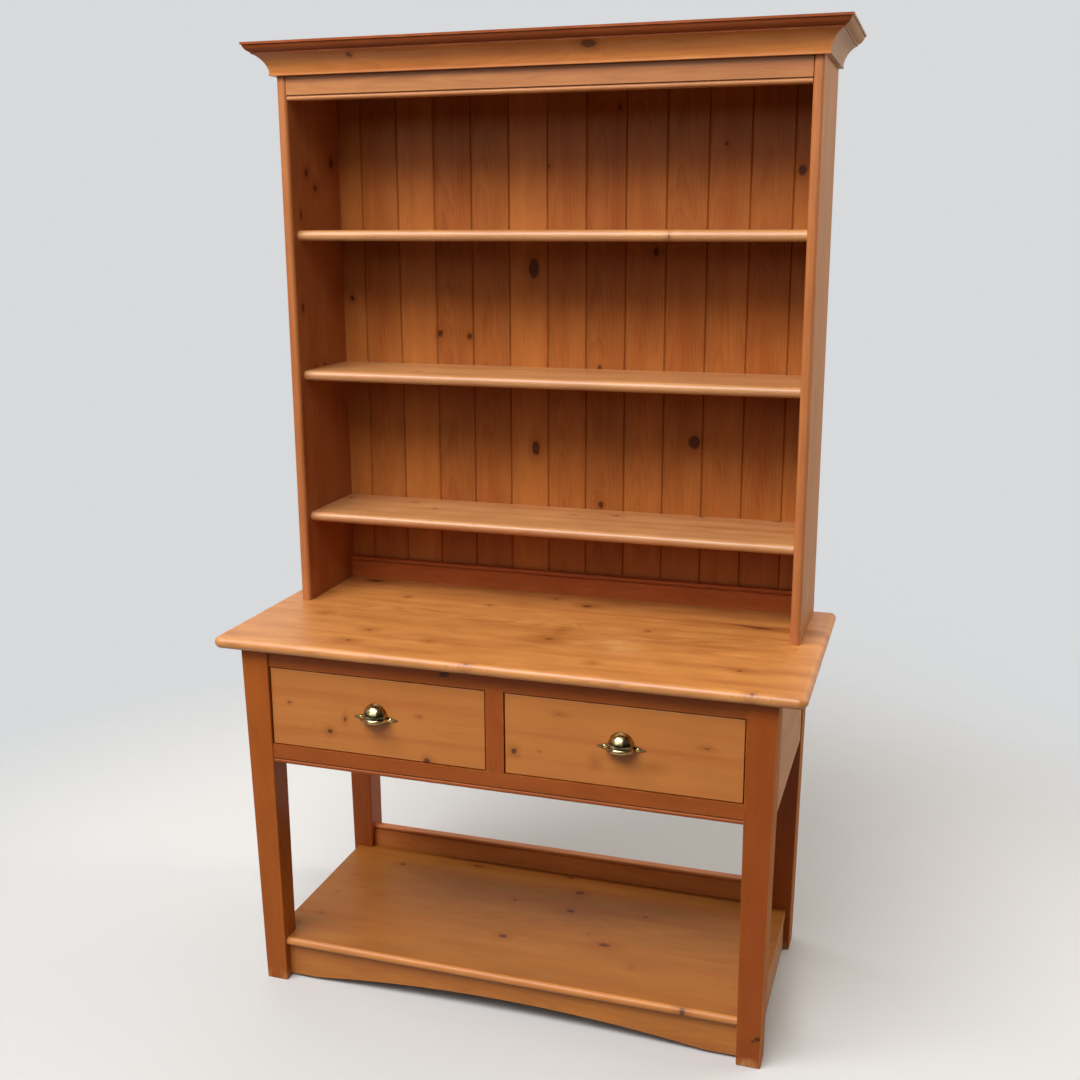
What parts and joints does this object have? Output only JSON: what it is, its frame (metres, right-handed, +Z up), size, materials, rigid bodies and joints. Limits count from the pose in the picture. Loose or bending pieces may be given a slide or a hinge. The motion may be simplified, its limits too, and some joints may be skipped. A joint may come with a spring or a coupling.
{
  "type": "welsh dresser",
  "caption": "Pine dresser with an open potboard base on tapered legs, a pair of drawers with brass cup pulls, and a tall plate rack with a moulded cornice.",
  "frame": {"origin": "on the floor, under the middle of the dresser's width and depth", "axes": "+X to the dresser's right as seen from the front, -Y out of its front, +Z up"},
  "size_m": [1.23, 0.55, 1.999],
  "materials": {
    "varnished_pine": "satin varnish",
    "bare_pine": "bare, planed",
    "brass": "polished",
    "screw_steel": "plain"
  },
  "bodies": {
    "carcass": {"apron_back": "varnished_pine", "apron_left": "varnished_pine", "apron_right": "varnished_pine", "back_board_left": "varnished_pine", "back_board_right": "varnished_pine", "back_boards": "varnished_pine", "cornice_front": "varnished_pine", "cornice_left": "varnished_pine", "cornice_right": "varnished_pine", "drawer_stops": "bare_pine", "frieze_rail": "varnished_pine", "guide_centre": "bare_pine", "guide_left": "bare_pine", "guide_right": "bare_pine", "kicker_centre": "bare_pine", "kicker_left": "bare_pine", "kicker_right": "bare_pine", "leg_front_left": "varnished_pine", "leg_front_right": "varnished_pine", "leg_rear_left": "varnished_pine", "leg_rear_right": "varnished_pine", "muntin_front": "varnished_pine", "plinth_back": "varnished_pine", "plinth_front": "varnished_pine", "plinth_left": "varnished_pine", "plinth_right": "varnished_pine", "potboard": "varnished_pine", "potboard_upstand": "varnished_pine", "rack_back_rail": "varnished_pine", "rack_dowels": "bare_pine", "rack_top_board": "varnished_pine", "rack_upright_left": "varnished_pine", "rack_upright_right": "varnished_pine", "rail_front_bottom": "varnished_pine", "rail_front_top": "varnished_pine", "runner_centre": "bare_pine", "runner_left": "bare_pine", "runner_right": "bare_pine", "shelf_lower": "varnished_pine", "shelf_middle": "varnished_pine", "shelf_upper": "varnished_pine", "table_top": "varnished_pine", "table_top_buttons": "bare_pine", "table_top_screws": "screw_steel"},
    "drawer_left": {"drawer_left_back": "bare_pine", "drawer_left_bottom": "bare_pine", "drawer_left_front": "varnished_pine", "drawer_left_pull": "brass", "drawer_left_pull_screws": "brass", "drawer_left_side_left": "bare_pine", "drawer_left_side_right": "bare_pine"},
    "drawer_right": {"drawer_right_back": "bare_pine", "drawer_right_bottom": "bare_pine", "drawer_right_front": "varnished_pine", "drawer_right_pull": "brass", "drawer_right_pull_screws": "brass", "drawer_right_side_left": "bare_pine", "drawer_right_side_right": "bare_pine"}
  },
  "joints": [
    {"name": "drawer_left_slide", "type": "slide", "parent": "carcass", "child": "drawer_left", "axis": [0, -1, 0], "range_m": [0, 0.34]},
    {"name": "drawer_right_slide", "type": "slide", "parent": "carcass", "child": "drawer_right", "axis": [0, -1, 0], "range_m": [0, 0.34]}
  ]
}
